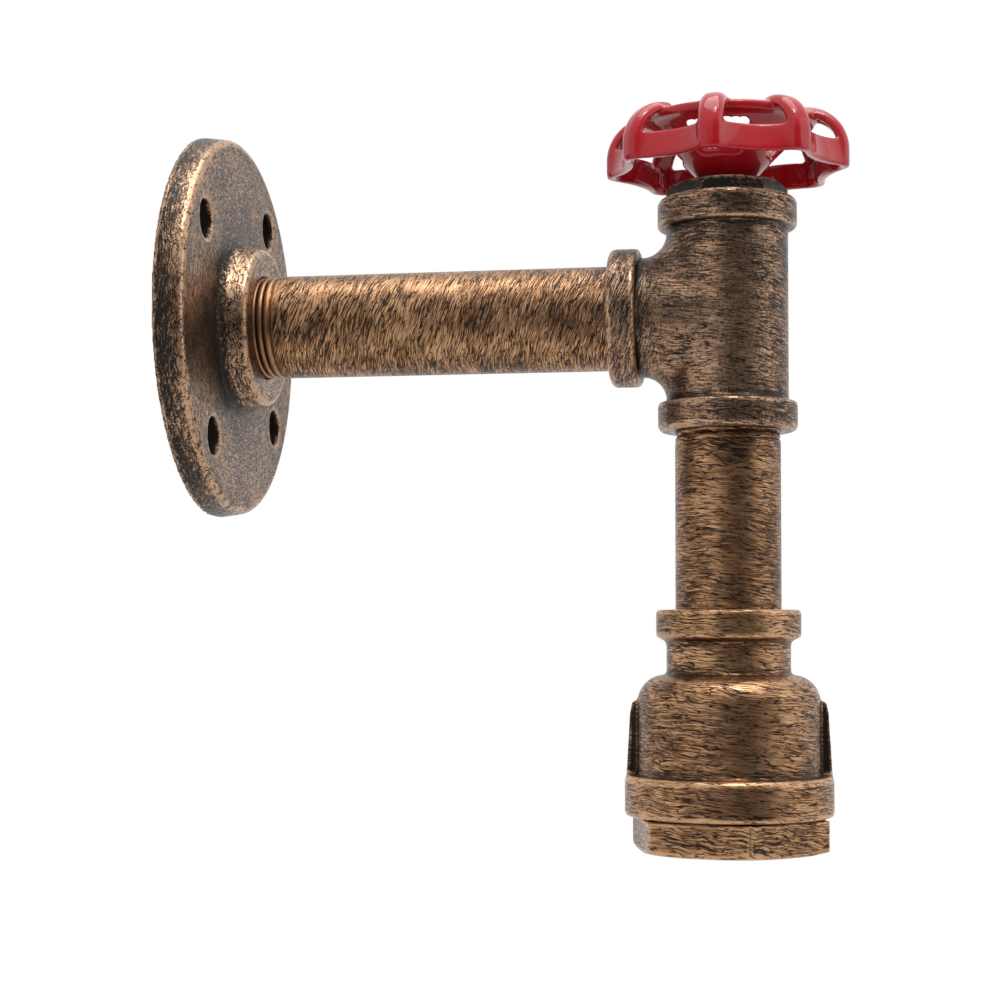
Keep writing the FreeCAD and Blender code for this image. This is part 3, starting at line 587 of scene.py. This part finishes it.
def thread_wear_and_painted_light(finish, place, level, edge):
    """The arm's thread crests are rubbed smooth and lighter, with a painted highlight, and the
    grooves between them are black, with painted shade.
    """
    threaded = finish.step(finish.along(place, "X"), *THREAD_WEAR_AND_LIGHT)
    crest = finish.step(finish.out(place, (0, 1, 1)), *CREST_WEAR_AND_LIGHT)
    # crests lighter with a painted highlight, grooves black with painted shade
    return level + (crest * 0.72 + 0.08 - level) * threaded * 0.85


def black_ribs(finish, place, level, edge):
    """The socket's wrench ribs are black at the sides and lighter along their edges: rubbed bronze
    with a painted highlight.
    """
    from_axis = finish.vector("SUBTRACT", place, (TEE_X, 0, 0))
    across = (-math.sin(RIB_TURN), math.cos(RIB_TURN), 0)
    sideways = finish.vector("DOT_PRODUCT", from_axis, across, output="Value")
    side = finish.step(abs(sideways), *RIB_SIDE)
    reach = finish.step(finish.out(from_axis, (1, 1, 0)), *RIB_REACH)
    rib = reach * finish.step(finish.along(place, "Z"), *RIB_FOOT)
    # rib edges less dark: rubbed bronze with a painted highlight
    return level - rib * (0.22 + side * 0.60 - edge * 0.20)


def over_the_tee(finish, place):
    """Strokes round the run, and round the branch on its side."""
    run = round_the_drop(finish, place)
    branch = round_the_arm(finish, place)
    speckle = finish.noise(place, 0.6, 1.0, 0.5) - 0.5
    side = finish.step(finish.along(place, "X"), *RUN_STROKES)
    return (branch + (run - branch) * side) * 0.9 + speckle * 0.9


def red_enamel():
    """Glossy red enamel over a casting, thin, with painted shade that darkens its hollows."""
    finish = Finish("red_enamel", Coat_Weight=1.0, Coat_Roughness=0.03, Coat_IOR=1.4,
                    Roughness=0.4, Specular_IOR_Level=0.1)
    place = finish.place()
    # painted shade: the red darkens towards a deep red in the hollows
    deep = finish.step(finish.bend("hollows"), -0.05, -0.35)
    tone = finish.noise(place, 8.0, 3.0, 0.6)
    colour = finish.mix(tone, (0.29, 0.003, 0.008, 1), (0.38, 0.005, 0.011, 1))
    finish.link("Base Color", finish.mix(deep * 0.6, colour, (0.12, 0.001, 0.003, 1)))
    lumps = finish.noise(place, 2.4, 2.0, 0.5)
    peel = finish.noise(place, 0.7, 1.0, 0.4)
    finish.relief(lumps + peel * 0.15, 0.10, 0.5)
    return finish.material


def black_paint():
    """Near-black paint of the plug, with bronze caught on its corners."""
    finish = Finish("plug_paint", Specular_IOR_Level=0.25)
    place = finish.place()
    speckle = finish.noise(place, 0.8, 3.0, 0.65)
    patches = finish.noise(place, 5.0, 2.0, 0.5)
    edge = finish.step(finish.bend("edges"), 0.2, 0.6)
    bronze = finish.step(speckle + (patches - 0.5) * 0.5 + edge * 0.14, 0.60, 0.72)
    colour = finish.mix(bronze, (0.014, 0.012, 0.011, 1), (0.24, 0.13, 0.07, 1))
    finish.link("Base Color", colour)
    finish.link("Metallic", bronze * 0.7)
    finish.link("Roughness", 0.36 + speckle * 0.2)
    finish.relief(speckle, 0.12, 0.5)
    return finish.material


def plain_metal(name, colour, dark, roughness):
    """Bare metal with fine scratches and duller patches."""
    finish = Finish(name, Metallic=1.0)
    place = finish.place()
    fine = strokes(finish, place, (0, 0, 1), 2.0, 0.15)
    patches = finish.noise(place, 3.0, 3.0, 0.6)
    finish.link("Base Color", finish.mix(finish.step(patches, 0.3, 0.7), dark, colour))
    finish.link("Roughness", roughness + (fine - 0.5) * 0.2 + (patches - 0.5) * 0.15)
    finish.relief(fine, 0.02, 0.4)
    return finish.material


def porcelain():
    """White glaze, a little uneven and warmer where it is thin."""
    finish = Finish("porcelain", Coat_Weight=0.6, Coat_Roughness=0.05)
    place = finish.place()
    clouds = finish.noise(place, 6.0, 3.0, 0.5)
    specks = finish.step(finish.noise(place, 0.6, 1.0, 0.4), 0.70, 0.78)
    glaze = finish.mix(clouds, (0.78, 0.76, 0.70, 1), (0.86, 0.85, 0.81, 1))
    finish.link("Base Color", finish.mix(specks * 0.35, glaze, (0.40, 0.34, 0.27, 1)))
    finish.link("Roughness", 0.22 + clouds * 0.15)
    finish.relief(clouds, 0.15, 0.5)
    return finish.material


def insulation(name, colour, worn):
    """Matt coloured insulation of a lead, dusty in places."""
    finish = Finish(name)
    place = finish.place()
    dust = finish.noise(place, 4.0, 4.0, 0.6)
    fine = finish.noise(place, 0.4, 2.0, 0.5)
    finish.link("Base Color", finish.mix(finish.step(dust, 0.4, 0.75), colour, worn))
    finish.link("Roughness", 0.42 + fine * 0.2)
    finish.relief(fine, 0.03, 0.4)
    return finish.material


def dress(piece, material, body="light"):
    """Give a piece its finish and the body that it moves with."""
    piece.data.materials.clear()
    piece.data.materials.append(material)
    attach(piece, body)


drop_bronze = antique_bronze("bronze_round_the_drop", round_the_drop, cover=-0.04)
arm_bronze = antique_bronze("bronze_round_the_arm", round_the_arm, cover=-0.02, bare=thread_wear_and_painted_light)
flange_bronze = antique_bronze("bronze_on_the_flange", round_the_flange, DULL_TONES, -0.05,
                               flange_paint_and_edge_highlight)
socket_bronze = antique_bronze("bronze_on_the_socket", round_the_drop, cover=0.01, bare=black_ribs)
tee_bronze = antique_bronze("bronze_on_the_tee", over_the_tee, DULL_TONES, -0.08)
steel = plain_metal("zinc_steel", (0.50, 0.50, 0.49, 1), (0.32, 0.32, 0.32, 1), 0.38)
brass = plain_metal("brass", (0.80, 0.58, 0.27, 1), (0.52, 0.35, 0.15, 1), 0.28)
glaze = porcelain()

dress(flange, flange_bronze)
dress(arm, arm_bronze)
dress(tee, tee_bronze)
dress(plug, black_paint())
dress(wheel, red_enamel(), "wheel")
dress(drop, drop_bronze)
dress(socket, socket_bronze)
dress(bushing, drop_bronze)
dress(holder, glaze)
dress(shell, brass)
dress(spring, steel)
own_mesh(spring)

for node, material in {
        "wheel_washer": steel, "wheel_screw": steel, "terminal_screws": steel,
        "centre_contact": brass, "live_terminal": brass, "neutral_terminal": brass,
        "shell_rivets": brass, "holder_cap": glaze,
        "live_lead": insulation("brown_insulation", (0.20, 0.085, 0.035, 1), (0.27, 0.16, 0.09, 1)),
        "neutral_lead": insulation("blue_insulation", (0.03, 0.09, 0.32, 1), (0.10, 0.16, 0.34, 1)),
}.items():
    nodes[node].data.materials.clear()
    nodes[node].data.materials.append(material)


# ---------------------------------------------------------------- studio

def pale_stage():
    """A wide pale floor far below the light, white to the camera with the shadow kept."""
    bpy.ops.object.select_all(action="DESELECT")
    bpy.ops.mesh.primitive_plane_add(size=FLOOR_SIZE, location=(0, 0, FLOOR_HEIGHT))
    floor = bpy.context.object
    floor.name = "floor"
    finish = Finish("pale_floor", Base_Color=(0.82, 0.82, 0.81, 1), Roughness=0.9)
    seen = finish.add("ShaderNodeLightPath", {}, output="Is Camera Ray")
    for kind in ("Is Glossy Ray", "Is Transmission Ray"):
        seen = seen.either(finish.add("ShaderNodeLightPath", {}, output=kind))
    away = finish.vector("LENGTH", finish.place(), output="Value")
    white = 1 - SHADOW_KEPT + finish.step(away, *FLOOR_FADE) * SHADOW_KEPT
    finish.blend(seen * white, finish.add("ShaderNodeEmission", {}))
    floor.data.materials.append(finish.material)


def tent():
    """White all round: for the camera, for metal and for glass, and a little less as light."""
    world = bpy.context.scene.world or bpy.data.worlds.new("tent")
    bpy.context.scene.world = world
    world.use_nodes = True
    tree = world.node_tree
    tree.nodes.clear()
    path = tree.nodes.new("ShaderNodeLightPath")
    seen = path.outputs["Is Camera Ray"]
    for kind in ("Is Glossy Ray", "Is Transmission Ray"):
        either = tree.nodes.new("ShaderNodeMath")
        either.operation = "MAXIMUM"
        tree.links.new(seen, either.inputs[0])
        tree.links.new(path.outputs[kind], either.inputs[1])
        seen = either.outputs[0]
    blend = tree.nodes.new("ShaderNodeMixShader")
    output = tree.nodes.new("ShaderNodeOutputWorld")
    tree.links.new(seen, blend.inputs[0])
    for slot, strength in ((1, TENT_LIGHT), (2, TENT_WHITE)):
        light = tree.nodes.new("ShaderNodeBackground")
        light.inputs[0].default_value = (1, 1, 1, 1)
        light.inputs[1].default_value = strength
        tree.links.new(light.outputs[0], blend.inputs[slot])
    tree.links.new(blend.outputs[0], output.inputs[0])


def black_card():
    """A round black card on the camera's side, soft at its rim, for the metal to mirror."""
    bpy.ops.object.select_all(action="DESELECT")
    aside = Vector(CARD_SIDE).normalized()
    behind = Vector((MIDDLE[0], 0, CARD_LEVEL)) + aside
    bpy.ops.mesh.primitive_plane_add(size=CARD_SIZE, location=behind)
    card = bpy.context.object
    card.name = "black_card"
    card.rotation_euler = aside.to_track_quat("Z", "Y").to_euler()
    card.visible_camera = card.visible_diffuse = False
    finish = Finish("black_card", Base_Color=(0.01, 0.01, 0.01, 1), Roughness=1.0,
                    Specular_IOR_Level=0.0)
    away = finish.vector("LENGTH", finish.place(), output="Value")
    finish.blend(finish.step(away, *CARD_FADE), finish.add("ShaderNodeBsdfTransparent", {}))
    card.data.materials.append(finish.material)


def lamp(name, place, aim, size, watts):
    """A square soft box aimed at a point."""
    bpy.ops.object.light_add(type="AREA", location=place)
    light = bpy.context.object
    light.name = name
    light.data.size = size
    light.data.energy = watts
    light.rotation_euler = (Vector(aim) - Vector(place)).to_track_quat("-Z", "Y").to_euler()


def camera():
    """The photograph's camera: a long lens a little below the tee."""
    yaw, pitch, roll = 0.17587, 0.03437, 0.00017
    bpy.ops.object.camera_add(location=(0.16929, -0.52002, -0.07990))
    view = bpy.context.object
    upright = Matrix.Rotation(yaw, 3, "Z") @ Matrix.Rotation(math.pi / 2 + pitch, 3, "X")
    view.rotation_euler = (upright @ Matrix.Rotation(roll, 3, "Z")).to_euler()
    view.data.sensor_width = SENSOR_WIDTH
    view.data.lens = SENSOR_WIDTH * FOCAL_WIDTHS
    view.data.shift_y = 0.06
    view.data.clip_start = 0.02
    bpy.context.scene.camera = view


pale_stage()
tent()
black_card()
lamp("top_box", (0.20, -0.10, 1.10), (0.1, 0, 0), 1.0, 10)
lamp("key_box", (0.35, -0.45, 0.95), MIDDLE, 0.22, 2.4)
lamp("right_box", (1.25, -0.05, 0.40), MIDDLE, 0.9, 1.5)
camera()

bpy.context.scene.view_settings.view_transform = "Standard"
